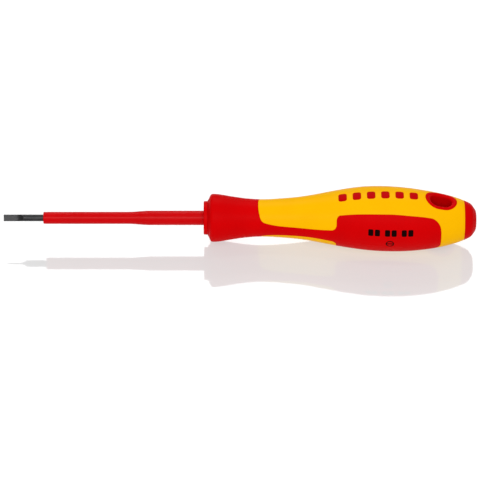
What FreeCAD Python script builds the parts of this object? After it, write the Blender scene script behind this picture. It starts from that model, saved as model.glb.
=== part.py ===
"""Insulated slotted screwdriver, as the pieces it is moulded and assembled from.

Millimetres.  The tool's axis is X, with the blade's tip at the origin and the handle towards +X.
Z runs up along the hanging hole, and the two soft grip panels face -Y and +Y.  The handle is
the same on both sides of the XY plane, and its tail leans a little towards -Y.
"""

import math
import os

import FreeCAD, Part

V = FreeCAD.Vector
X_AXIS, Y_AXIS, Z_AXIS = V(1, 0, 0), V(0, 1, 0), V(0, 0, 1)

# ---- blade -------------------------------------------------------------------------------
SHANK_R = 1.25                 # the shank is as thick as the tip is wide
TIP_THICKNESS = 0.4
TIP_FLAT_LENGTH = 4.8          # ground nearly parallel
TIP_FLAT_RISE = 0.05           # each flat's taper over that length
TIP_GRIND_R = 4.2              # grinding wheel's run-out between the flats and the round shank
TIP_CHAMFER = 0.12
TIP_ROLL = 41.3                # degrees from the -Y panel up to the direction the upper flat faces
TANG_END = 141.0
WING_LENGTH, WING_WIDTH, WING_THICKNESS = 8.0, 3.7, 1.5
WING_STARTS = (104.0, 124.0)   # swaged wings that stop the shank turning in the core
WING_TAPER = 1.6

# ---- insulating sleeve on the blade ------------------------------------------------------
BLADE_REACH = 75.0             # tip to the handle's mouth
BARE_LENGTH = 14.9             # bare steel at the tip
SLEEVE_FRONT_R = 2.25
SLEEVE_REAR_R = 2.7
SLEEVE_SWELL = (46.5, 55.0)    # the sleeve thickens between these
SLEEVE_EDGE_R = 0.4
SLEEVE_END = 92.0              # inside the handle
SLEEVE_RIB_R = 3.5
SLEEVE_RIBS = (84.0, 87.0, 90.0)
SLEEVE_RIB_LENGTH = 1.0

# ---- handle profile ----------------------------------------------------------------------
CREST_X = 78.7                 # widest point of the finger guard
CAP_X = 172.4                  # joint between the hard shell and the end cap
HANDLE_END = 177.0
HANDLE_PROFILE = [             # x, radius: guard crest, waist, belly, tail
    (CREST_X, 9.0), (84.0, 8.35), (90.0, 7.45), (96.5, 7.0), (104.0, 7.33), (112.0, 8.1),
    (120.0, 9.5), (128.0, 10.95), (136.0, 11.95), (144.0, 12.2), (152.0, 11.8), (160.0, 10.75),
    (166.5, 9.4), (CAP_X, 7.45),
]
TAIL_LEAN = 1.22               # the tail's centre lies this far towards -Y from the tool's axis
TAIL_LEAN_RANGE = (128.0, 166.0)
SECTION_COUNT = 27

# ---- handle layers -----------------------------------------------------------------------
SKIN = 2.0                     # thickness of the hard shell and the soft grip over the core
CORE_END = 170.8
CORE_MOUTH_X = 77.6
CORE_MOUTH_R = 5.4
CORE_RIB_HEIGHT, CORE_RIB_LENGTH = 0.8, 1.6
CORE_RIBS = (82.0, 86.5, 91.0)           # rings under the soft guard
PANEL_KEYS = (133.0, 144.0, 155.0)       # round keys under each soft panel
PANEL_KEY_R, PANEL_KEY_HEIGHT = 1.8, 0.9

# ---- nose collar, guard ------------------------------------------------------------------
COLLAR_R = 6.3
COLLAR_LENGTH = 1.45           # what shows in front of the soft guard
COLLAR_EDGE_R = 0.35
COLLAR_SPIGOT_R = 4.3
COLLAR_SPIGOT_END = 82.0
GUARD_FOOT_R = 6.6
GUARD_FOOT_LENGTH = 0.35

# ---- soft grip outline, seen along Y -----------------------------------------------------
GUARD_END = 95.4               # the hard shell starts here, behind the guard
STRIP_TOP = 6.9
STRIP_EDGE = [
    (95.68, 6.0), (96.02, 5.05), (96.45, 4.25), (97.1, 3.62), (98.8, 3.02), (101.7, 2.52),
    (107.0, 2.22), (114.0, 2.18), (119.6, 2.5),
]
PANEL_FRONT = 124.5
PANEL_CORNER_R = 1.75
PANEL_FILLET_R = 2.3
STRIP_FLARE = 0.3              # how far the strip widens before the panel
PANEL_EDGE = [
    (126.25, 8.07), (130.0, 8.7), (135.6, 9.29), (141.1, 9.55), (146.8, 9.53), (150.4, 9.27),
    (154.2, 8.88), (157.9, 8.34), (159.8, 7.95),
]
PANEL_REAR_EDGE = [(161.9, 6.8), (162.95, 5.45), (163.35, 4.0), (163.5, 0.0)]

# ---- hanging hole ------------------------------------------------------------------------
HOLE_X = 163.6
HOLE_LENGTH, HOLE_WIDTH = 7.9, 6.2
LINER_LENGTH, LINER_WIDTH = 11.9, 10.2
LINER_RIM_R = 1.2

# ---- end cap -----------------------------------------------------------------------------
CAP_FLAT_R = 2.4
CAP_CURVE = [(174.0, 6.75), (175.2, 6.0), (176.2, 4.65)]
CAP_MARK_LENGTH, CAP_MARK_WIDTH, CAP_MARK_DEPTH = 3.4, 0.8, 0.35

# ---- marks -------------------------------------------------------------------------------
PIP_COUNT, PIP_PITCH, PIP_FIRST_X = 6, 5.3, 126.8
PIP_LENGTH, PIP_WIDTH, PIP_CORNER = 3.1, 3.9, 0.9
PIP_DEPTH = 0.8
BLOCK_X = (138.4, 144.6, 150.8)          # printed blocks, in pairs
BLOCK_Z, BLOCK_LENGTH, BLOCK_HEIGHT, BLOCK_GAP, BLOCK_CORNER = 3.7, 1.9, 2.6, 0.55, 0.45
RING_X, RING_Z, RING_R, RING_BORE_R, RING_SLOT = 144.4, -1.2, 1.55, 1.15, 0.5
INK_DEPTH = 0.12

BIG = 60.0


def smoothstep(x, start, end):
    """0 before start, 1 after end, and a smooth rise between."""
    t = min(1.0, max(0.0, (x - start) / (end - start)))
    return t * t * (3 - 2 * t)


def centre_y(x):
    """Where the handle's centre line lies across the tool at x."""
    return -TAIL_LEAN * smoothstep(x, *TAIL_LEAN_RANGE)


def handle_curve():
    """The handle's radius against x, as a smooth curve that is level at the guard's crest."""
    curve = Part.BSplineCurve()
    points = [V(x, 0, r) for x, r in HANDLE_PROFILE]
    curve.interpolate(Points=points, InitialTangent=V(1, 0, 0), FinalTangent=V(1, 0, -0.42))
    return curve


def handle_radius(x):
    """The handle's radius at x."""
    curve = HANDLE_CURVE
    low, high = curve.FirstParameter, curve.LastParameter
    for _ in range(50):
        middle = (low + high) / 2
        if curve.value(middle).x < x:
            low = middle
        else:
            high = middle
    return curve.value((low + high) / 2).z


HANDLE_CURVE = handle_curve()


def handle_loft(start, end, inset=0.0):
    """The handle's outer form between two stations, inset all round."""
    wires = []
    for i in range(SECTION_COUNT):
        x = start + (end - start) * i / (SECTION_COUNT - 1)
        circle = Part.makeCircle(handle_radius(x) - inset, V(x, centre_y(x), 0), X_AXIS)
        wires.append(Part.Wire(circle))
    return Part.makeLoft(wires, True, False)


def rod(start, end, radius):
    return Part.makeCylinder(radius, end - start, V(start, 0, 0), X_AXIS)


def revolved(edges):
    """A solid turned about the tool's axis from a closed outline in the XZ plane."""
    return Part.Face(Part.Wire(edges)).revolve(V(0, 0, 0), X_AXIS, 360)


def lines(*points):
    """Straight edges through points given as (x, z)."""
    corners = [V(x, 0, z) for x, z in points]
    return [Part.LineSegment(a, b).toShape() for a, b in zip(corners, corners[1:])]


def arc_through(*points):
    a, b, c = [V(x, 0, z) for x, z in points]
    return Part.Arc(a, b, c).toShape()


def round_box(length, width, corner, height):
    """A rounded rectangle in XY, centred on the origin and extruded up Z."""
    box = Part.makeBox(length, width, height, V(-length / 2, -width / 2, 0))
    upright = [e for e in box.Edges if abs(e.tangentAt(e.FirstParameter).z) > 0.99]
    return box.makeFillet(corner, upright)


def oval_prism(length, width):
    """A long prism with round ends, standing along Z through the hanging hole."""
    return round_box(length, width, width / 2 - 0.001, BIG).translated(V(HOLE_X, 0, -BIG / 2))


def along_y(shape):
    """Turns a prism that stands on XY so that it runs out along -Y, with its X kept and its Y as Z."""
    return shape.rotated(V(0, 0, 0), X_AXIS, 90)


# ---- pieces ------------------------------------------------------------------------------


def tip_grind():
    """What the grinding wheel removes above the blade's upper flat, as a bar across the blade."""
    half = TIP_THICKNESS / 2
    foot = half + TIP_FLAT_RISE
    climb = 2 * SHANK_R - foot
    reach = math.sqrt(TIP_GRIND_R ** 2 - (TIP_GRIND_R - climb) ** 2)
    part_way = math.asin(reach / TIP_GRIND_R) / 2
    middle = (
        TIP_FLAT_LENGTH + TIP_GRIND_R * math.sin(part_way),
        foot + TIP_GRIND_R * (1 - math.cos(part_way)),
    )
    end = (TIP_FLAT_LENGTH + reach, 2 * SHANK_R)
    edges = lines((-1, half), (0, half), (TIP_FLAT_LENGTH, foot))
    edges.append(arc_through((TIP_FLAT_LENGTH, foot), middle, end))
    edges += lines(end, (-1, 2 * SHANK_R), (-1, half))
    face = Part.Face(Part.Wire(edges)).translated(V(0, -2 * SHANK_R, 0))
    return face.extrude(V(0, 4 * SHANK_R, 0))


def wing_pair(start):
    """Two swaged wings on the shank, on a flat bar with tapered ends."""
    half, end = WING_WIDTH / 2, start + WING_LENGTH
    outline = lines(
        (start, 0), (start + WING_TAPER, half), (end - WING_TAPER, half),
        (end, 0), (end - WING_TAPER, -half), (start + WING_TAPER, -half), (start, 0),
    )
    face = Part.Face(Part.Wire(outline)).translated(V(0, -WING_THICKNESS / 2, 0))
    return face.extrude(V(0, WING_THICKNESS, 0))


def make_blade():
    shank = rod(0, TANG_END, SHANK_R)
    ends = [e for e in shank.Edges if e.Length > SHANK_R and len(e.Vertexes) == 1]
    shank = shank.makeChamfer(TIP_CHAMFER, ends)
    upper = tip_grind()
    lower = upper.rotated(V(0, 0, 0), X_AXIS, 180)
    ground = shank.cut(upper).cut(lower)
    wings = [wing_pair(x).rotated(V(0, 0, 0), X_AXIS, 90 * i) for i, x in enumerate(WING_STARTS)]
    blade = ground.fuse(wings).removeSplitter()
    return blade.rotated(V(0, 0, 0), X_AXIS, 90 - TIP_ROLL)


def make_blade_sleeve():
    """The insulating sleeve, with sealing ribs on the end that the handle hides."""
    swell = Part.BSplineCurve()
    start, end = SLEEVE_SWELL
    swell.interpolate(
        Points=[V(start, 0, SLEEVE_FRONT_R), V(end, 0, SLEEVE_REAR_R)],
        InitialTangent=X_AXIS, FinalTangent=X_AXIS,
    )
    edge_x, edge_r = BARE_LENGTH + SLEEVE_EDGE_R, SLEEVE_FRONT_R - SLEEVE_EDGE_R
    diagonal = SLEEVE_EDGE_R * math.sqrt(0.5)
    edges = lines((BARE_LENGTH, SHANK_R), (BARE_LENGTH, edge_r))
    edges.append(arc_through(
        (BARE_LENGTH, edge_r), (edge_x - diagonal, edge_r + diagonal), (edge_x, SLEEVE_FRONT_R)
    ))
    edges += lines((edge_x, SLEEVE_FRONT_R), (start, SLEEVE_FRONT_R))
    edges.append(swell.toShape())
    edges += lines(
        (end, SLEEVE_REAR_R), (SLEEVE_END, SLEEVE_REAR_R), (SLEEVE_END, SHANK_R), (BARE_LENGTH, SHANK_R)
    )
    sleeve = revolved(edges)
    ribs = [
        rod(x, x + SLEEVE_RIB_LENGTH, SLEEVE_RIB_R).cut(rod(x - 1, x + SLEEVE_RIB_LENGTH + 1, SHANK_R))
        for x in SLEEVE_RIBS
    ]
    return sleeve.fuse(ribs).removeSplitter()


def make_nose_collar():
    """The hard ring at the handle's mouth, with a spigot that seats in the core."""
    front, back = BLADE_REACH, BLADE_REACH + COLLAR_LENGTH
    ring = rod(front, back, COLLAR_R)
    rim = [e for e in ring.Edges if len(e.Vertexes) == 1 and abs(e.CenterOfMass.x - front) < 0.01]
    ring = ring.makeFillet(COLLAR_EDGE_R, rim)
    spigot = rod(back, COLLAR_SPIGOT_END, COLLAR_SPIGOT_R)
    bore = rod(front - 1, COLLAR_SPIGOT_END + 1, SLEEVE_REAR_R)
    return ring.fuse(spigot).cut(bore).removeSplitter()


def make_liner():
    """The oval eyelet through the tail, flush with the handle and rounded into its hole."""
    block = oval_prism(LINER_LENGTH, LINER_WIDTH).common(handle_loft(HOLE_X - 12, CAP_X))
    tube = block.cut(oval_prism(HOLE_LENGTH, HOLE_WIDTH))
    inner_x = HOLE_LENGTH / 2 + 0.05
    rims = [
        e for e in tube.Edges
        if abs(e.CenterOfMass.z) > 5
        and abs(e.BoundBox.XMin - HOLE_X) < inner_x and abs(e.BoundBox.XMax - HOLE_X) < inner_x
        and e.BoundBox.YMax < HOLE_WIDTH / 2 + 0.05 and e.BoundBox.YMin > -HOLE_WIDTH / 2 - 0.05
        and e.BoundBox.ZLength < 5
    ]
    return tube.makeFillet(LINER_RIM_R, rims)


def make_end_cap():
    """The rear cap, with a spigot in the shell's end and a slot-drive mark sunk in its face."""
    centre = centre_y(HANDLE_END)
    joint_r = handle_radius(CAP_X)
    curve = Part.BSplineCurve()
    points = [(CAP_X, joint_r)] + CAP_CURVE + [(HANDLE_END, CAP_FLAT_R)]
    curve.interpolate(
        Points=[V(x, 0, r) for x, r in points], InitialTangent=V(1, 0, -0.42), FinalTangent=V(0, 0, -1)
    )
    spigot_r = joint_r - SKIN
    edges = lines((CORE_END, 0), (CORE_END, spigot_r), (CAP_X, spigot_r), (CAP_X, joint_r))
    edges.append(curve.toShape())
    edges += lines((HANDLE_END, CAP_FLAT_R), (HANDLE_END, 0), (CORE_END, 0))
    cap = revolved(edges).translated(V(0, centre, 0))
    mark = Part.makeBox(
        CAP_MARK_DEPTH, CAP_MARK_WIDTH, CAP_MARK_LENGTH,
        V(HANDLE_END - CAP_MARK_DEPTH, centre - CAP_MARK_WIDTH / 2, -CAP_MARK_LENGTH / 2),
    )
    return cap.cut(mark)


def core_form():
    """The core's outside, with the rings and keys that lock the outer layers to it."""
    body = handle_loft(CREST_X, CAP_X, SKIN)
    neck = revolved(lines(
        (CORE_MOUTH_X, 0), (CORE_MOUTH_X, CORE_MOUTH_R), (CREST_X, handle_radius(CREST_X) - SKIN),
        (CREST_X, 0), (CORE_MOUTH_X, 0),
    ))
    rings = [
        rod(x - CORE_RIB_LENGTH / 2, x + CORE_RIB_LENGTH / 2, handle_radius(x) - SKIN + CORE_RIB_HEIGHT)
        for x in CORE_RIBS
    ]
    keys = []
    for x in PANEL_KEYS:
        reach = handle_radius(x) - SKIN + PANEL_KEY_HEIGHT
        pin = Part.makeCylinder(PANEL_KEY_R, 2 * reach, V(x, centre_y(x) - reach, 0), Y_AXIS)
        keys.append(pin)
    whole = body.fuse([neck] + rings + keys)
    tail = Part.makeBox(BIG, BIG, BIG, V(CORE_END, -BIG / 2, -BIG / 2))
    return whole.cut(tail)


def grip_outline():
    """The soft strips and panels as seen along Y, as a closed wire in the XZ plane."""
    strip = Part.BSplineCurve()
    strip_points = [(GUARD_END, STRIP_TOP)] + STRIP_EDGE
    strip.interpolate(
        Points=[V(x, 0, z) for x, z in strip_points], InitialTangent=V(0, 0, -1), FinalTangent=V(1, 0, 0.09)
    )
    strip_x, strip_z = STRIP_EDGE[-1]
    wall_x = PANEL_FRONT
    low = (wall_x, strip_z + STRIP_FLARE + PANEL_FILLET_R)
    turn = (wall_x - PANEL_FILLET_R, strip_z + STRIP_FLARE)
    diagonal = math.sqrt(0.5)
    fillet_middle = (
        turn[0] + PANEL_FILLET_R * diagonal, low[1] - PANEL_FILLET_R * diagonal
    )
    corner_start = (wall_x, PANEL_EDGE[0][1] - PANEL_CORNER_R)
    corner_middle = (
        wall_x + PANEL_CORNER_R * (1 - diagonal), corner_start[1] + PANEL_CORNER_R * diagonal
    )
    top = Part.BSplineCurve()
    top.interpolate(
        Points=[V(x, 0, z) for x, z in PANEL_EDGE],
        InitialTangent=V(1, 0, 0.25), FinalTangent=V(1, 0, -0.3),
    )
    rear = Part.BSplineCurve()
    rear.interpolate(
        Points=[V(x, 0, z) for x, z in [PANEL_EDGE[-1]] + PANEL_REAR_EDGE],
        InitialTangent=V(1, 0, -0.3), FinalTangent=V(0, 0, -1),
    )
    upper = lines((CREST_X + 1, STRIP_TOP), (GUARD_END, STRIP_TOP))
    upper.append(strip.toShape())
    upper += lines((strip_x, strip_z), turn)
    upper.append(arc_through(turn, fillet_middle, low))
    upper += lines(low, corner_start)
    upper.append(arc_through(corner_start, corner_middle, PANEL_EDGE[0]))
    upper.append(top.toShape())
    upper.append(rear.toShape())
    lower = [e.mirror(V(0, 0, 0), Z_AXIS) for e in upper]
    front = lines((CREST_X + 1, STRIP_TOP), (CREST_X + 1, -STRIP_TOP))
    return Part.Wire(Part.__sortEdges__(upper + lower + front))


def grip_prism():
    """The strips' and panels' outline carried right through the handle along Y."""
    face = Part.Face(grip_outline()).translated(V(0, -BIG / 2, 0))
    return face.extrude(V(0, BIG, 0))


def guard_nose():
    """The guard's front: a short foot round the collar, a hollow flare and a rounded crest."""
    foot_x = BLADE_REACH + COLLAR_LENGTH
    crest = handle_radius(CREST_X)
    flare = Part.BSplineCurve()
    flare.interpolate(
        Points=[V(foot_x + GUARD_FOOT_LENGTH, 0, GUARD_FOOT_R), V(77.15, 0, 7.75), V(77.55, 0, 8.6),
                V(CREST_X, 0, crest)],
        InitialTangent=V(0.8, 0, 1), FinalTangent=X_AXIS,
    )
    edges = lines((foot_x, 0), (foot_x, GUARD_FOOT_R), (foot_x + GUARD_FOOT_LENGTH, GUARD_FOOT_R))
    edges.append(flare.toShape())
    edges += lines((CREST_X, crest), (CREST_X, 0), (foot_x, 0))
    return revolved(edges)


def make_soft_grip(core, collar, ink):
    """One soft moulding: the finger guard, two neck strips and two side panels."""
    ahead = Part.makeBox(GUARD_END, BIG, BIG, V(0, -BIG / 2, -BIG / 2))
    prism = grip_prism()
    guard = handle_loft(CREST_X, CAP_X).common(ahead.fuse(prism))
    whole = guard_nose().fuse(guard).removeSplitter()
    inside = rod(BLADE_REACH, SLEEVE_END, SLEEVE_REAR_R)
    return whole.cut(core).cut(collar).cut(inside).cut(ink)


def make_hard_shell(core, liner, pips, cap):
    """The hard moulding: two lobes joined by the band in front of the end cap."""
    behind = Part.makeBox(BIG * 2, BIG, BIG, V(GUARD_END, -BIG / 2, -BIG / 2))
    skin = handle_loft(CREST_X, CAP_X).common(behind)
    return skin.cut(grip_prism()).cut(core).cut(liner).cut(pips).cut(cap)


def surface_layer(depth):
    """The outermost layer of the handle's form, down to a depth."""
    return handle_loft(CREST_X, CAP_X).cut(handle_loft(CREST_X, CAP_X, depth))


def make_pips():
    """A row of plain soft inlays along the upper lobe."""
    pieces = []
    layer = surface_layer(PIP_DEPTH)
    for i in range(PIP_COUNT):
        x = PIP_FIRST_X + i * PIP_PITCH
        prism = round_box(PIP_LENGTH, PIP_WIDTH, PIP_CORNER, BIG).translated(V(x, 0, 0))
        pieces.append(layer.common(prism))
    return Part.makeCompound([s for p in pieces for s in p.Solids])


def make_ink():
    """Plain printed marks on the front panel: paired blocks over a slot-drive ring."""
    stamps = []
    for x in BLOCK_X:
        for side in (-1, 1):
            block = round_box(BLOCK_LENGTH, BLOCK_HEIGHT, BLOCK_CORNER, BIG)
            centre = x + side * (BLOCK_LENGTH + BLOCK_GAP) / 2
            stamps.append(along_y(block).translated(V(centre, 0, BLOCK_Z)))
    ring = Part.makeCylinder(RING_R, BIG).cut(Part.makeCylinder(RING_BORE_R, BIG))
    slot = Part.makeBox(2 * RING_BORE_R + 0.2, RING_SLOT, BIG, V(-RING_BORE_R - 0.1, -RING_SLOT / 2, 0))
    stamps.append(along_y(ring.fuse(slot)).translated(V(RING_X, 0, RING_Z)))
    layer = surface_layer(INK_DEPTH)
    return Part.makeCompound([s for stamp in stamps for s in layer.common(stamp).Solids])


def make_core(form, blade, sleeve, collar, liner, cap):
    return form.cut(blade).cut(sleeve).cut(collar).cut(liner).cut(cap)


def save(name, shape):
    solids = shape.Solids
    whole = solids[0] if len(solids) == 1 else Part.makeCompound(solids)
    print(f"{name}: {len(solids)} solid(s), {whole.Volume:.1f} mm3, valid {whole.isValid()}")
    whole.exportStep(f"parts/{name}.step")


def main():
    os.makedirs("parts", exist_ok=True)
    blade, sleeve, collar = make_blade(), make_blade_sleeve(), make_nose_collar()
    liner, cap, pips, ink = make_liner(), make_end_cap(), make_pips(), make_ink()
    liner_block = oval_prism(LINER_LENGTH, LINER_WIDTH)
    form = core_form()
    save("blade", blade)
    save("blade_sleeve", sleeve)
    save("nose_collar", collar)
    save("handle_core", make_core(form, blade, sleeve, collar, liner_block, cap))
    save("soft_grip", make_soft_grip(form, collar, ink))
    save("hard_shell", make_hard_shell(form, liner_block, pips, cap))
    save("hanging_hole_liner", liner)
    save("end_cap", cap)
    save("inlay_pips", pips)
    save("printed_marks", ink)


main()
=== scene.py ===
"""Looks for the insulated screwdriver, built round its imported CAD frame.

The handle's visible skins are meshed here on the same form as the CAD, with rolled edges at every
joint between two materials.  The form's numbers repeat part.py's, in millimetres, and every mesh
is turned into metres when it is made.
"""

import math

import bpy
import numpy as np
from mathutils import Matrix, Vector
from mathutils.geometry import delaunay_2d_cdt


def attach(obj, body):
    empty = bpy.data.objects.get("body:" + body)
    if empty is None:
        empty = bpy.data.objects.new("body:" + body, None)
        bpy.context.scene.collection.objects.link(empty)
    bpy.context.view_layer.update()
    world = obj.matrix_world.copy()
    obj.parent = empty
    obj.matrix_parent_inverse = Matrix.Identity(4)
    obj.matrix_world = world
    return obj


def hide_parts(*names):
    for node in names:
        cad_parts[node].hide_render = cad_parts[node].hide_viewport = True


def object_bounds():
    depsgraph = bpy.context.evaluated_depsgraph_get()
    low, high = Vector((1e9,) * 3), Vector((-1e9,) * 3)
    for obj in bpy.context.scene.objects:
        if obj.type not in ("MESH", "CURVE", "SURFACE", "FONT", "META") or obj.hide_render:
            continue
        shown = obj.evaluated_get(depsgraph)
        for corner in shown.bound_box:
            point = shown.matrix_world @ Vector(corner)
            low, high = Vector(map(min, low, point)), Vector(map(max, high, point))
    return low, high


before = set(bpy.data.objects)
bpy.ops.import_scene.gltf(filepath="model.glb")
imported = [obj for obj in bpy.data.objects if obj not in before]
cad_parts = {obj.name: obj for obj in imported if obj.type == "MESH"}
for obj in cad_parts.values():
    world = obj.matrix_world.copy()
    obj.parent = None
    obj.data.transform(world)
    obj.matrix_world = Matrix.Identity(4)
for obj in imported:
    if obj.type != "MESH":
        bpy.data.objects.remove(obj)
cad_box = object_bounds()

MM = 0.001
QUARTER_TURN = math.pi / 2

# ---- the handle's form, as in part.py ----------------------------------------------------
CREST_X, GUARD_END, CAP_X = 78.7, 95.4, 172.4
HANDLE_PROFILE = [
    (CREST_X, 9.0), (84.0, 8.35), (90.0, 7.45), (96.5, 7.0), (104.0, 7.33), (112.0, 8.1),
    (120.0, 9.5), (128.0, 10.95), (136.0, 11.95), (144.0, 12.2), (152.0, 11.8), (160.0, 10.75),
    (166.5, 9.4), (CAP_X, 7.45),
]
TAIL_SLOPE = -0.42      # change of radius along X where the handle meets the end cap
NOSE_PROFILE = [
    (76.52, 5.7), (76.48, 6.4), (76.58, 6.7), (76.82, 7.0), (77.15, 7.75), (77.5, 8.5),
    (77.95, 8.89), (CREST_X, 9.0),
]
TAIL_LEAN, TAIL_LEAN_RANGE = 1.22, (128.0, 166.0)
STRIP_TOP = 6.9
STRIP_EDGE = [
    (95.68, 6.0), (96.02, 5.05), (96.45, 4.25), (97.1, 3.62), (98.8, 3.02), (101.7, 2.52),
    (107.0, 2.22), (114.0, 2.18), (119.6, 2.5),
]
PANEL_FRONT, PANEL_REAR = 124.5, 163.5
PANEL_CORNER_R, PANEL_FILLET_R, STRIP_FLARE = 1.75, 2.3, 0.3
PANEL_EDGE = [
    (126.25, 8.07), (130.0, 8.7), (135.6, 9.29), (141.1, 9.55), (146.8, 9.53), (150.4, 9.27),
    (154.2, 8.88), (157.9, 8.34), (159.8, 7.95),
]
PANEL_REAR_EDGE = [(161.9, 6.8), (162.95, 5.45), (163.35, 4.0), (PANEL_REAR, 0.0)]
HOLE_X, HOLE_LENGTH, HOLE_WIDTH = 163.6, 7.9, 6.2
LINER_WALL = 2.0
LINER_RIM_R = 1.6       # softer than the solid's rim
EYELET_FIT = (0.02, -0.06)      # added to the shell's opening round the eyelet, in length and width
PIP_COUNT, PIP_PITCH, PIP_FIRST_X = 6, 5.3, 126.8
PIP_LENGTH, PIP_WIDTH, PIP_CORNER = 3.1, 3.9, 0.9
BLOCK_X, BLOCK_Z, BLOCK_LENGTH, BLOCK_HEIGHT = (138.4, 144.6, 150.8), 3.7, 1.9, 2.6
BLOCK_GAP, BLOCK_CORNER = 0.55, 0.45
RING_X, RING_Z, RING_R, RING_BORE_R, RING_SLOT = 144.4, -1.2, 1.55, 1.15, 0.5
PIP_DEPTH, PIP_PROUD = 0.8, 0.06
INK_DEPTH, INK_PROUD = 0.08, 0.02

# ---- meshing -----------------------------------------------------------------------------
ANGLE_SCALE = 10.0      # millimetres of flat mesh to one radian round the handle
GRID = 0.55             # spacing of the points inside a patch
ROW_RATIO = 0.9         # spacing of their rows, as a part of the grid
CLEAR_RATIO = 0.45      # least room between them and an edge, as a part of the grid
EDGE_STEP = 0.3         # spacing of the points along an edge
SEAM_STEP = 0.4         # spacing along the straight runs round the handle
NOSE_STEP = 0.06
INK_STEP, INK_RING_STEP = 0.12, 0.1
SEAM_COUNT, BAND_COUNT = 60, 24         # points along the seams of the guard and of the rear band
SKIN_DEPTH = 1.8
ROLL_STEPS = 4
GRIP_ROLL, SHELL_ROLL, PIP_ROLL, INK_ROLL = 0.14, 0.1, 0.16, 0.01      # radii of the rolled edges
MITER_LIMIT, MITER_FLOOR = 1.6, 0.6     # how much further a rolled edge reaches in at a sharp corner
EDGE_MARGIN = 0.12      # room kept between a rolled edge and the inner points
BEHIND = 1.5            # outward is judged from a centre-line point this far behind a face
RIM_STEPS = 8           # steps round the eyelet's rim
WELD = 2e-4             # seam points nearer than this become one
DISTANCE_BATCH = 2000   # inner points compared with the edge at a time


def cubic(xs, ys, first_slope, last_slope):
    """A clamped cubic spline through the points, as a function."""
    xs, ys = np.array(xs, float), np.array(ys, float)
    h, n = np.diff(xs), len(xs)
    a, b = np.zeros((n, n)), np.zeros(n)
    a[0, :2], b[0] = (2 * h[0], h[0]), 6 * ((ys[1] - ys[0]) / h[0] - first_slope)
    a[-1, -2:], b[-1] = (h[-1], 2 * h[-1]), 6 * (last_slope - (ys[-1] - ys[-2]) / h[-1])
    for i in range(1, n - 1):
        a[i, i - 1:i + 2] = h[i - 1], 2 * (h[i - 1] + h[i]), h[i]
        b[i] = 6 * ((ys[i + 1] - ys[i]) / h[i] - (ys[i] - ys[i - 1]) / h[i - 1])
    m = np.linalg.solve(a, b)

    def at(x):
        x = np.asarray(x, float)
        i = np.clip(np.searchsorted(xs, x, side="right") - 1, 0, n - 2)
        p, q = xs[i + 1] - x, x - xs[i]
        return ((m[i] * p ** 3 + m[i + 1] * q ** 3) / (6 * h[i])
                + (ys[i] / h[i] - m[i] * h[i] / 6) * p + (ys[i + 1] / h[i] - m[i + 1] * h[i] / 6) * q)

    return at


def smooth_line(points, first, last, step=EDGE_STEP):
    """Points along a smooth curve through the given ones, with the given end directions."""
    points = np.array(points, float)
    s = np.r_[0, np.cumsum(np.hypot(*np.diff(points, axis=0).T))]
    first, last = np.array(first) / math.hypot(*first), np.array(last) / math.hypot(*last)
    fx, fy = [cubic(s, points[:, k], first[k], last[k]) for k in (0, 1)]
    t = np.linspace(0, s[-1], max(2, int(round(s[-1] / step)) + 1))
    return np.c_[fx(t), fy(t)]


def segment(a, b, step=EDGE_STEP):
    a, b = np.array(a, float), np.array(b, float)
    count = max(1, int(round(np.hypot(*(b - a)) / step)))
    return a + (b - a) * np.linspace(0, 1, count + 1)[:, None]


def arc(centre, radius, start, end, step=EDGE_STEP):
    """Points round an arc, with the angles in degrees."""
    count = max(6, int(round(abs(math.radians(end - start)) * radius / step)))
    t = np.radians(np.linspace(start, end, count + 1))
    return np.array(centre) + radius * np.c_[np.cos(t), np.sin(t)]


def joined(*runs):
    """One run of points from several, with each repeated joint left out."""
    out = [runs[0]]
    for run in runs[1:]:
        out.append(run[1:] if np.hypot(*(run[0] - out[-1][-1])) < 1e-6 else run)
    return np.vstack(out)


def smoothstep(x, start, end):
    t = np.clip((np.asarray(x, float) - start) / (end - start), 0, 1)
    return t * t * (3 - 2 * t)


handle_radius = cubic(*zip(*HANDLE_PROFILE), 0.0, TAIL_SLOPE)
nose_line = smooth_line(NOSE_PROFILE, (0, 1), (1, 0), NOSE_STEP)
nose_run = np.r_[0, np.cumsum(np.hypot(*np.diff(nose_line, axis=0).T))]
NOSE_START = CREST_X - nose_run[-1]


def centre_y(x):
    """Where the handle's centre line lies across the tool."""
    return -TAIL_LEAN * smoothstep(x, *TAIL_LEAN_RANGE)


def profile(u):
    """x and radius at a distance u along the handle: u is x itself behind the guard's crest."""
    u = np.asarray(u, float)
    ahead = u - NOSE_START
    x = np.where(u < CREST_X, np.interp(ahead, nose_run, nose_line[:, 0]), u)
    nose_r = np.interp(ahead, nose_run, nose_line[:, 1])
    r = np.where(u < CREST_X, nose_r, handle_radius(np.maximum(u, CREST_X)))
    return x, r


class Side:
    """A way round the handle: angles count from one of its four sides, turning towards another."""

    def __init__(self, zero, turn):
        self.zero, self.turn = np.array(zero, float), np.array(turn, float)

    def place(self, flat, down):
        """Positions of flat points, sunk below the surface by down."""
        u, angle = flat[:, 0], flat[:, 1] / ANGLE_SCALE
        x, r = profile(u)
        rho = (r - down)[:, None]
        ring = np.cos(angle)[:, None] * self.zero + np.sin(angle)[:, None] * self.turn
        return np.c_[x, centre_y(x), np.zeros_like(x)] + rho * ring

    def flat(self, points):
        """Flat points from (x, offset), where offset is measured straight across along turn."""
        x, offset = np.array(points, float).T
        across = offset - centre_y(x) * self.turn[1]
        return np.c_[x, ANGLE_SCALE * np.arcsin(np.clip(across / profile(x)[1], -1, 1))]


FRONT = Side((0, -1, 0), (0, 0, 1))
BACK = Side((0, 1, 0), (0, 0, 1))
UPPER = Side((0, 0, 1), (0, 1, 0))
LOWER = Side((0, 0, -1), (0, 1, 0))


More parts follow.
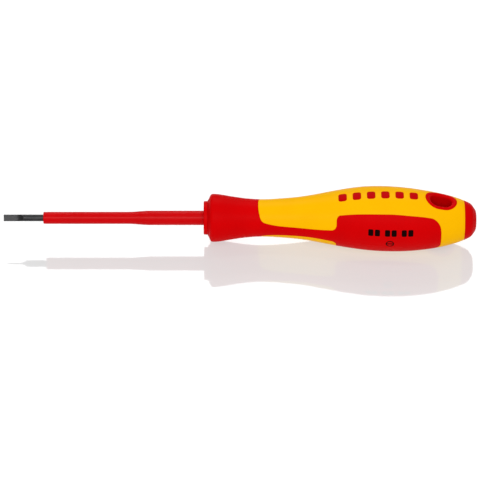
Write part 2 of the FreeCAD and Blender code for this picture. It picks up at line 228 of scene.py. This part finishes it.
def inside(points, loop):
    """Which points lie within the closed loop."""
    x, y = points.T
    hit = np.zeros(len(points), bool)
    for (ax, ay), (bx, by) in zip(loop, np.roll(loop, -1, axis=0)):
        if ay != by:
            cross = ((ay > y) != (by > y)) & (x < (bx - ax) * (y - ay) / (by - ay) + ax)
            hit ^= cross
    return hit


def inward(loop):
    """Normals to the left of the loop's run, longer at corners so that rolled edges keep their width."""
    before, after = np.roll(loop, 1, axis=0), np.roll(loop, -1, axis=0)
    a, b = loop - before, after - loop
    a /= np.maximum(np.hypot(*a.T), 1e-9)[:, None]
    b /= np.maximum(np.hypot(*b.T), 1e-9)[:, None]
    normal = np.c_[-(a + b)[:, 1], (a + b)[:, 0]]
    normal /= np.maximum(np.hypot(*normal.T), 1e-9)[:, None]
    along = np.abs((normal * np.c_[-b[:, 1], b[:, 0]]).sum(1))
    miter = np.clip(1 / np.maximum(along, MITER_FLOOR), 1, MITER_LIMIT)
    return normal * miter[:, None]


def area(loop):
    x, y = loop.T
    return 0.5 * np.sum(x * np.roll(y, -1) - np.roll(x, -1) * y)


def flat_patch(loops, roll, grid=GRID):
    """Triangulates the region inside loops[0] and outside the others.

    Each loop is (points, seam), where seam marks the points that join another patch.
    Returns flat points, how far each is sunk at a rolled edge, and the triangles.
    """
    points, sunk, edges = [], [], []
    for k, (loop, seam) in enumerate(loops):
        if (area(loop) > 0) != (k == 0):
            loop, seam = loop[::-1], seam[::-1]
        first = sum(len(p) for p in points)
        count = len(loop)
        edges += [(first + i, first + (i + 1) % count) for i in range(count)]
        points.append(loop)
        sunk.append(np.where(seam, 0.0, roll))
        normal = inward(loop)
        free = ~seam & ~np.roll(seam, 1) & ~np.roll(seam, -1)
        for step in range(1, ROLL_STEPS + 1):
            t = QUARTER_TURN * step / ROLL_STEPS
            points.append(loop[free] + normal[free] * roll * (1 - math.cos(t)))
            sunk.append(np.full(free.sum(), roll * (1 - math.sin(t))))
        loops[k] = (loop, seam)
    low, high = loops[0][0].min(0), loops[0][0].max(0)
    rows = np.arange(low[1] + grid / 2, high[1], grid * ROW_RATIO)
    staggered = [np.arange(low[0] + grid * (0.25 + 0.5 * (i % 2)), high[0], grid) for i in range(len(rows))]
    inner = np.vstack([np.c_[x, np.full(len(x), y)] for x, y in zip(staggered, rows)])
    use = inside(inner, loops[0][0])
    for loop, _ in loops[1:]:
        use &= ~inside(inner, loop)
    inner = inner[use]
    border = np.vstack([loop for loop, _ in loops])
    clear = np.ones(len(inner), bool)
    for start in range(0, len(inner), DISTANCE_BATCH):
        batch = slice(start, start + DISTANCE_BATCH)
        apart = inner[batch, None] - border[None]
        gap = np.hypot(apart[:, :, 0], apart[:, :, 1]).min(1)
        clear[batch] = gap > max(roll + EDGE_MARGIN, grid * CLEAR_RATIO)
    points.append(inner[clear])
    sunk.append(np.zeros(clear.sum()))
    points, sunk = np.vstack(points), np.concatenate(sunk)
    made = delaunay_2d_cdt([Vector(p) for p in points], edges, [], 0, 1e-7)
    verts = np.array([tuple(v) for v in made[0]])
    origin = np.array([o[0] if o else -1 for o in made[3]])
    sunk = np.where(origin >= 0, sunk[origin], 0.0)
    faces = np.array([f for f in made[2] if len(f) == 3])
    middle = verts[faces].mean(1)
    good = inside(middle, loops[0][0])
    for loop, _ in loops[1:]:
        good &= ~inside(middle, loop)
    return verts, sunk, faces[good]


def skin(name, patches, roll, depth=SKIN_DEPTH, proud=0.0):
    """A closed skin over one or more patches of the handle, given as (side, loops)."""
    outer, inner, faces = [], [], []
    total = 0
    for side, loops in patches:
        flat, sunk, tris = flat_patch([tuple(loop) for loop in loops], roll)
        top = side.place(flat, sunk - proud)
        bottom = side.place(flat, np.full(len(flat), depth))
        corner = top[tris]
        normal = np.cross(corner[:, 1] - corner[:, 0], corner[:, 2] - corner[:, 0])
        middle = corner.mean(1)
        out = middle - np.c_[middle[:, 0] + BEHIND, centre_y(middle[:, 0]), np.zeros(len(tris))]
        if np.sum(normal * out) < 0:
            tris = tris[:, ::-1]
        faces.append(tris + total)
        outer.append(top)
        inner.append(bottom)
        total += len(flat)
    outer, inner, faces = np.vstack(outer), np.vstack(inner), np.vstack(faces)
    if len(patches) > 1:
        key = np.round(outer / WELD).astype(np.int64)
        _, index, back = np.unique(key, axis=0, return_index=True, return_inverse=True)
        back = back.reshape(-1)
        outer, inner, faces = outer[index], inner[index], back[faces]
        a, b, c = faces.T
        faces = faces[(a != b) & (b != c) & (a != c)]
    used, packed = np.unique(faces, return_inverse=True)
    outer, inner, faces = outer[used], inner[used], packed.reshape(-1, 3)
    count = len(outer)
    directed = np.vstack([faces[:, [0, 1]], faces[:, [1, 2]], faces[:, [2, 0]]])
    known = set(map(tuple, directed.tolist()))
    walls = [(b, a, a + count, b + count) for a, b in known if (b, a) not in known]
    everything = [tuple(f) for f in faces.tolist()]
    everything += [(c + count, b + count, a + count) for a, b, c in faces.tolist()]
    everything += walls
    return piece(name, np.vstack([outer, inner]), everything)


def piece(name, points, faces):
    """A smooth-shaded mesh object from points in millimetres."""
    mesh = bpy.data.meshes.new(name)
    mesh.from_pydata((np.asarray(points) * MM).tolist(), [], faces)
    mesh.validate()
    mesh.polygons.foreach_set("use_smooth", [True] * len(mesh.polygons))
    mesh.update()
    made = bpy.data.objects.new(name, mesh)
    bpy.context.scene.collection.objects.link(made)
    return made


# ---- outlines ----------------------------------------------------------------------------


def grip_edge():
    """The upper edge of a strip and panel in (x, z), from the guard's end to the panel's rear."""
    strip = smooth_line([(GUARD_END, STRIP_TOP)] + STRIP_EDGE, (0, -1), (1, 0.09))
    base = STRIP_EDGE[-1][1] + STRIP_FLARE
    turn = (PANEL_FRONT - PANEL_FILLET_R, base)
    fillet = arc((turn[0], base + PANEL_FILLET_R), PANEL_FILLET_R, -90, 0)
    corner_z = PANEL_EDGE[0][1] - PANEL_CORNER_R
    corner = arc((PANEL_FRONT + PANEL_CORNER_R, corner_z), PANEL_CORNER_R, 180, 90)
    top = smooth_line(PANEL_EDGE, (1, 0.2), (1, -0.2))
    rear = smooth_line([PANEL_EDGE[-1]] + PANEL_REAR_EDGE, (1, -0.2), (0, -1))
    return joined(
        strip, segment(strip[-1], turn), fillet, segment(fillet[-1], corner[0]), corner, top, rear
    )


EDGE = grip_edge()
MIRRORED = EDGE * (1, -1)


def marked(runs):
    """A closed loop from (points, is_seam) runs, with each run's last point left to the next."""
    points = np.vstack([run[:-1] for run, _ in runs])
    seam = np.concatenate([np.full(len(run) - 1, flag) for run, flag in runs])
    return points, seam


def soft_loops(side):
    """The guard, strip and panel on one side of the handle."""
    upper, lower = side.flat(EDGE), side.flat(MIRRORED)
    right = QUARTER_TURN * ANGLE_SCALE
    seam_u = np.linspace(NOSE_START, GUARD_END, SEAM_COUNT)
    return [marked([
        (np.c_[seam_u, np.full(SEAM_COUNT, -right)], True),
        (segment((GUARD_END, -right), lower[0], SEAM_STEP), False),
        (lower, False),
        (upper[::-1], False),
        (segment(upper[0], (GUARD_END, right), SEAM_STEP), False),
        (np.c_[seam_u[::-1], np.full(SEAM_COUNT, right)], True),
        (segment((NOSE_START, right), (NOSE_START, -right), SEAM_STEP), False),
    ])]


def shell_edge(sign):
    """The shell's border with one soft panel, in flat points on the upper or lower side."""
    x, z = EDGE.T
    return np.c_[x, sign * ANGLE_SCALE * np.arccos(z / profile(x)[1])]


def closed_flat(side, points):
    """A closed loop of free edge from points in (x, offset)."""
    flat = side.flat(points)
    return flat, np.zeros(len(flat), bool)


def stadium(length, width, count=40):
    """A slot shape with round ends, centred on the hanging hole."""
    reach = (length - width) / 2
    right = arc((HOLE_X + reach, 0), width / 2, -90, 90, math.pi * width / 2 / count)
    left = arc((HOLE_X - reach, 0), width / 2, 90, 270, math.pi * width / 2 / count)
    top = segment(right[-1], left[0], reach / 3)[1:-1]
    bottom = segment(left[-1], right[0], reach / 3)[1:-1]
    return np.vstack([right, top, left, bottom])


def rounded(length, width, corner, centre, step=EDGE_STEP):
    """A rounded rectangle about a centre."""
    cx, cy = centre
    hx, hy = length / 2 - corner, width / 2 - corner
    runs = []
    for sx, sy, start in ((1, 1, 0), (-1, 1, 90), (-1, -1, 180), (1, -1, 270)):
        runs.append(arc((cx + sx * hx, cy + sy * hy), corner, start, start + 90, step))
    points = []
    for run, following in zip(runs, runs[1:] + runs[:1]):
        points.append(run)
        between = segment(run[-1], following[0], step)[1:-1]
        points.append(between)
    return np.vstack(points)


def pip_centres():
    return [(PIP_FIRST_X + i * PIP_PITCH, 0.0) for i in range(PIP_COUNT)]


def shell_loops(side, pips):
    """One lobe of the hard shell, with its half of the rear band."""
    right, left = shell_edge(1), shell_edge(-1)
    rear_x = np.linspace(PANEL_REAR, CAP_X, BAND_COUNT)
    angle = np.full(BAND_COUNT, ANGLE_SCALE * QUARTER_TURN)
    outer = marked([
        (segment(left[0], right[0], SEAM_STEP), False),
        (right, False),
        (np.c_[rear_x, angle], True),
        (segment((CAP_X, angle[-1]), (CAP_X, -angle[-1]), SEAM_STEP), False),
        (np.c_[rear_x, -angle][::-1], True),
        (left[::-1], False),
    ])
    length = HOLE_LENGTH + 2 * LINER_WALL + EYELET_FIT[0]
    width = HOLE_WIDTH + 2 * LINER_WALL + EYELET_FIT[1]
    loops = [outer, closed_flat(side, stadium(length, width))]
    if pips:
        for centre in pip_centres():
            loops.append(closed_flat(side, rounded(PIP_LENGTH, PIP_WIDTH, PIP_CORNER, centre)))
    return loops


def make_liner():
    """The eyelet: a flush rim on both lobes, rounded into a straight oval wall."""
    # how far out from the bore, and how far below the handle's surface, each ring of points lies:
    # first the small outer corner, then the flat of the rim, and then its round
    insets = [LINER_WALL - 0.01, LINER_WALL - 0.05, LINER_WALL - 0.12, 1.75, LINER_RIM_R]
    drops = [0.12, 0.04, 0.0, 0.0, 0.0]
    for step in range(1, RIM_STEPS + 1):
        t = QUARTER_TURN * step / RIM_STEPS
        insets.append(LINER_RIM_R * (1 - math.sin(t)))
        drops.append(LINER_RIM_R * (1 - math.cos(t)))
    rings = []
    for sign in (1, -1):
        half = []
        for inset, drop in zip(insets, drops):
            loop = stadium(HOLE_LENGTH + 2 * inset, HOLE_WIDTH + 2 * inset)
            across = loop[:, 1] - centre_y(loop[:, 0])
            surface = np.sqrt(profile(loop[:, 0])[1] ** 2 - across ** 2)
            half.append(np.c_[loop, sign * (surface - drop)])
        rings += half if sign == 1 else half[::-1]
    count = len(rings[0])
    faces = []
    for k in range(len(rings)):
        a, b = k * count, (k + 1) % len(rings) * count
        for i in range(count):
            j = (i + 1) % count
            faces.append((a + i, a + j, b + j, b + i))
    return piece("liner_eyelet", np.vstack(rings), faces)


def merged(name, made):
    """Joins several meshes into one piece."""
    points, faces, total = [], [], 0
    for each in made:
        mesh = each.data
        points += [tuple(v.co / MM) for v in mesh.vertices]
        faces += [tuple(total + i for i in p.vertices) for p in mesh.polygons]
        total = len(points)
        bpy.data.objects.remove(each)
        bpy.data.meshes.remove(mesh)
    return piece(name, points, faces)


def make_marks():
    """Printed blocks in pairs over a slot-drive ring, as a thin layer of ink."""
    loops = []
    for x in BLOCK_X:
        for side in (-1, 1):
            centre = (x + side * (BLOCK_LENGTH + BLOCK_GAP) / 2, BLOCK_Z)
            block = rounded(BLOCK_LENGTH, BLOCK_HEIGHT, BLOCK_CORNER, centre, INK_STEP)
            loops.append([closed_flat(FRONT, block)])
    outer = arc((RING_X, RING_Z), RING_R, 0, 360, INK_STEP)[:-1]
    tilt = math.degrees(math.asin(RING_SLOT / 2 / RING_BORE_R))
    upper = arc((RING_X, RING_Z), RING_BORE_R, tilt, 180 - tilt, INK_RING_STEP)
    lower = arc((RING_X, RING_Z), RING_BORE_R, 180 + tilt, 360 - tilt, INK_RING_STEP)
    holes = []
    for half in (upper, lower):
        closed = joined(half, segment(half[-1], half[0], INK_STEP))[:-1]
        holes.append(closed_flat(FRONT, closed))
    loops.append([closed_flat(FRONT, outer)] + holes)
    made = []
    for i, each in enumerate(loops):
        made.append(skin(f"mark_{i}", [(FRONT, each)], INK_ROLL, INK_DEPTH, INK_PROUD))
    return merged("panel_marks", made)


# ---- materials ---------------------------------------------------------------------------


class Shade:
    """A procedural material under construction."""

    def __init__(self, name, **settings):
        self.material = bpy.data.materials.new(name)
        self.material.use_nodes = True
        self.tree = self.material.node_tree
        self.shader = self.tree.nodes["Principled BSDF"]
        for key, value in settings.items():
            self.shader.inputs[key.replace("_", " ")].default_value = value
        self.where = self.tree.nodes.new("ShaderNodeTexCoord").outputs["Object"]

    def link(self, source, target):
        self.tree.links.new(source, target)

    def noise(self, scale, detail=3.0, stretch=(1, 1, 1), roughness=0.5):
        """A noise pattern, with scale in features to the metre."""
        mapping = self.tree.nodes.new("ShaderNodeMapping")
        mapping.inputs["Scale"].default_value = stretch
        self.link(self.where, mapping.inputs["Vector"])
        node = self.tree.nodes.new("ShaderNodeTexNoise")
        node.inputs["Scale"].default_value = scale
        node.inputs["Detail"].default_value = detail
        node.inputs["Roughness"].default_value = roughness
        self.link(mapping.outputs["Vector"], node.inputs["Vector"])
        return node.outputs["Fac"]

    def ramp(self, value, stops):
        node = self.tree.nodes.new("ShaderNodeValToRGB")
        elements = node.color_ramp.elements
        while len(elements) < len(stops):
            elements.new(0.5)
        for element, (place, colour) in zip(elements, stops):
            element.position = place
            element.color = (*colour, 1)
        self.link(value, node.inputs["Fac"])
        return node.outputs["Color"]

    def range(self, value, low, high, start=0.3, end=0.7):
        node = self.tree.nodes.new("ShaderNodeMapRange")
        node.inputs["From Min"].default_value = start
        node.inputs["From Max"].default_value = end
        node.inputs["To Min"].default_value = low
        node.inputs["To Max"].default_value = high
        self.link(value, node.inputs["Value"])
        return node.outputs["Result"]

    def mix(self, a, b, factor=0.5):
        node = self.tree.nodes.new("ShaderNodeMix")
        node.data_type = "FLOAT"
        node.inputs[0].default_value = factor
        self.link(a, node.inputs[2])
        self.link(b, node.inputs[3])
        return node.outputs[0]

    def bump(self, height, distance, strength=1.0):
        node = self.tree.nodes.new("ShaderNodeBump")
        node.inputs["Distance"].default_value = distance
        node.inputs["Strength"].default_value = strength
        self.link(height, node.inputs["Height"])
        self.link(node.outputs["Normal"], self.shader.inputs["Normal"])

    def moulded(self, colour, darker, rough, grain, bump, speck=2600):
        """Moulded plastic: slow colour drift, a rough patchiness and a fine grain."""
        drift = self.noise(90, 3)
        fine = self.noise(speck, 3, roughness=0.65)
        both = self.mix(drift, fine, 0.45)
        patchy = self.mix(self.noise(220, 4), fine, 0.5)
        self.link(self.ramp(both, [(0.32, darker), (0.62, colour)]), self.shader.inputs["Base Color"])
        self.link(self.range(patchy, *rough), self.shader.inputs["Roughness"])
        self.bump(self.noise(grain, 4, roughness=0.6), bump)
        return self.material


def soft_red():
    return Shade("soft_red", Specular_IOR_Level=0.02, IOR=1.47).moulded(
        (0.675, 0.0, 0.001), (0.6, 0.0, 0.001), (0.36, 0.5), 3200, 0.000035)


def insulation_red():
    return Shade("insulation_red", Specular_IOR_Level=0.06, IOR=1.5).moulded(
        (0.63, 0.0, 0.002), (0.57, 0.0, 0.001), (0.2, 0.3), 1500, 0.000015)


def hard_red():
    return Shade("hard_red", Specular_IOR_Level=0.02, IOR=1.5).moulded(
        (0.66, 0.0, 0.001), (0.59, 0.0, 0.001), (0.3, 0.44), 1800, 0.000015)


def inlay_red():
    return Shade("inlay_red", Specular_IOR_Level=0.02, IOR=1.5).moulded(
        (0.55, 0.0, 0.001), (0.48, 0.0, 0.001), (0.38, 0.5), 2400, 0.00002)


def hard_yellow():
    return Shade("hard_yellow", Specular_IOR_Level=0.02, IOR=1.5).moulded(
        (1.0, 0.505, 0.0), (0.96, 0.475, 0.0), (0.3, 0.42), 1300, 0.000012)


def core_yellow():
    return Shade("core_yellow", IOR=1.5).moulded(
        (0.75, 0.45, 0.03), (0.68, 0.4, 0.03), (0.45, 0.6), 1500, 0.00002)


def print_black():
    return Shade("print_black", Specular_IOR_Level=0.04, IOR=1.45).moulded(
        (0.005, 0.0, 0.0), (0.012, 0.0, 0.0), (0.42, 0.6), 4200, 0.00001)


def blade_steel():
    shade = Shade("blade_steel", Metallic=1.0, IOR=2.5)
    streaks = shade.noise(260, 5, (1, 14, 14), 0.6)
    grind = shade.noise(900, 4, (1, 6, 6), 0.6)
    stain = shade.noise(120, 4)
    tone = shade.mix(shade.mix(streaks, grind, 0.4), stain, 0.3)
    colours = [(0.3, (0.026, 0.026, 0.028)), (0.5, (0.042, 0.042, 0.043)), (0.68, (0.07, 0.07, 0.07))]
    shade.link(shade.ramp(tone, colours), shade.shader.inputs["Base Color"])
    shade.link(shade.range(stain, 0.3, 0.46), shade.shader.inputs["Roughness"])
    shade.bump(grind, 0.00002)
    return shade.material


# ---- pieces on the frame -----------------------------------------------------------------


def fit(made, material, slot, *nodes):
    """Gives a new piece its material and its body, and hides the CAD nodes that it stands for."""
    made.data.materials.append(material)
    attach(made, "root")
    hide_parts(*nodes)


soft = soft_red()
red = hard_red()
grip_patches = [(FRONT, soft_loops(FRONT)), (BACK, soft_loops(BACK))]
fit(skin("grip_skin", grip_patches, GRIP_ROLL), soft, "red_soft", "soft_grip")
shell_patches = [(UPPER, shell_loops(UPPER, True)), (LOWER, shell_loops(LOWER, False))]
fit(skin("shell_skin", shell_patches, SHELL_ROLL), hard_yellow(), "yellow_hard", "hard_shell")
fit(make_liner(), red, "red_hard", "hanging_hole_liner")
pips = []
for i, middle in enumerate(pip_centres()):
    pip_loop = closed_flat(UPPER, rounded(PIP_LENGTH, PIP_WIDTH, PIP_CORNER, middle))
    pips.append(skin(f"pip_{i}", [(UPPER, [pip_loop])], PIP_ROLL, PIP_DEPTH, PIP_PROUD))
fit(merged("lobe_pips", pips), inlay_red(), "red_inlay", "inlay_pips")
fit(make_marks(), print_black(), "black_print", "printed_marks")

CAD_LOOKS = {
    "blade": blade_steel(),
    "blade_sleeve": insulation_red(),
    "nose_collar": red,
    "end_cap": red,
    "handle_core": core_yellow(),
}
for node, material in CAD_LOOKS.items():
    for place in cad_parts[node].material_slots:
        place.material = material

# ---- stage, light and camera -------------------------------------------------------------

VIEW_ELEVATION = math.radians(45)
CAMERA_DISTANCE = 1.1
VIEW_WIDTH = 0.18
SENSOR_WIDTH = 36
AIM_X, AIM_BELOW_AXIS = 0.0886, 0.0083
FLOOR_SIZE = 4.0
TOOL_MIDDLE = (0.09, 0, 0)      # where the lights point


def make_floor():
    """A pale, glossy table top with some light of its own, level with the tool's lowest point."""
    low, size = cad_box[0].z, FLOOR_SIZE
    corners = [(-size, -size, low), (size, -size, low), (size, size, low), (-size, size, low)]
    floor = piece("floor", np.array(corners) / MM, [(0, 1, 2, 3)])
    shade = Shade("pale_floor", IOR=1.5, Specular_IOR_Level=0.9, Emission_Strength=0.49)
    shade.shader.inputs["Emission Color"].default_value = (1, 1, 1, 1)
    tone = shade.ramp(shade.noise(6, 2), [(0.3, (0.28, 0.28, 0.28)), (0.7, (0.3, 0.3, 0.3))])
    shade.link(tone, shade.shader.inputs["Base Color"])
    shade.shader.inputs["Roughness"].default_value = 0.06
    floor.data.materials.append(shade.material)


def area_light(name, place, size, power):
    light = bpy.data.lights.new(name, "AREA")
    light.shape = "RECTANGLE"
    light.size, light.size_y = size
    light.energy = power
    made = bpy.data.objects.new(name, light)
    made.location = place
    made.rotation_euler = (Vector(TOOL_MIDDLE) - Vector(place)).to_track_quat("-Z", "Y").to_euler()
    bpy.context.scene.collection.objects.link(made)


def make_lights():
    world = bpy.data.worlds.new("studio")
    bpy.context.scene.world = world
    world.use_nodes = True
    world.node_tree.nodes["Background"].inputs["Color"].default_value = (1, 1, 1, 1)
    world.node_tree.nodes["Background"].inputs["Strength"].default_value = 0.45
    area_light("key", (0.09, -0.75, 0.85), (0.8, 0.5), 6.0)
    area_light("upper_strip", (0.09, 0.0, 0.8), (0.8, 0.05), 0.45)
    area_light("lower_strip", (0.09, -0.9, 0.3), (0.8, 0.05), 0.5)
    area_light("mirror_card", (0.09, 0.75, 0.75), (0.5, 0.5), 3.0)


def make_camera():
    toward = Vector((0, math.cos(VIEW_ELEVATION), -math.sin(VIEW_ELEVATION)))
    up = Vector((0, math.sin(VIEW_ELEVATION), math.cos(VIEW_ELEVATION)))
    target = Vector((AIM_X, 0, 0)) - up * AIM_BELOW_AXIS
    data = bpy.data.cameras.new("camera")
    data.sensor_width = SENSOR_WIDTH
    data.lens = data.sensor_width * CAMERA_DISTANCE / VIEW_WIDTH
    made = bpy.data.objects.new("camera", data)
    made.location = target - toward * CAMERA_DISTANCE
    made.rotation_euler = toward.to_track_quat("-Z", "Y").to_euler()
    bpy.context.scene.collection.objects.link(made)
    bpy.context.scene.camera = made


make_floor()
make_lights()
make_camera()
bpy.context.scene.view_settings.view_transform = "Standard"
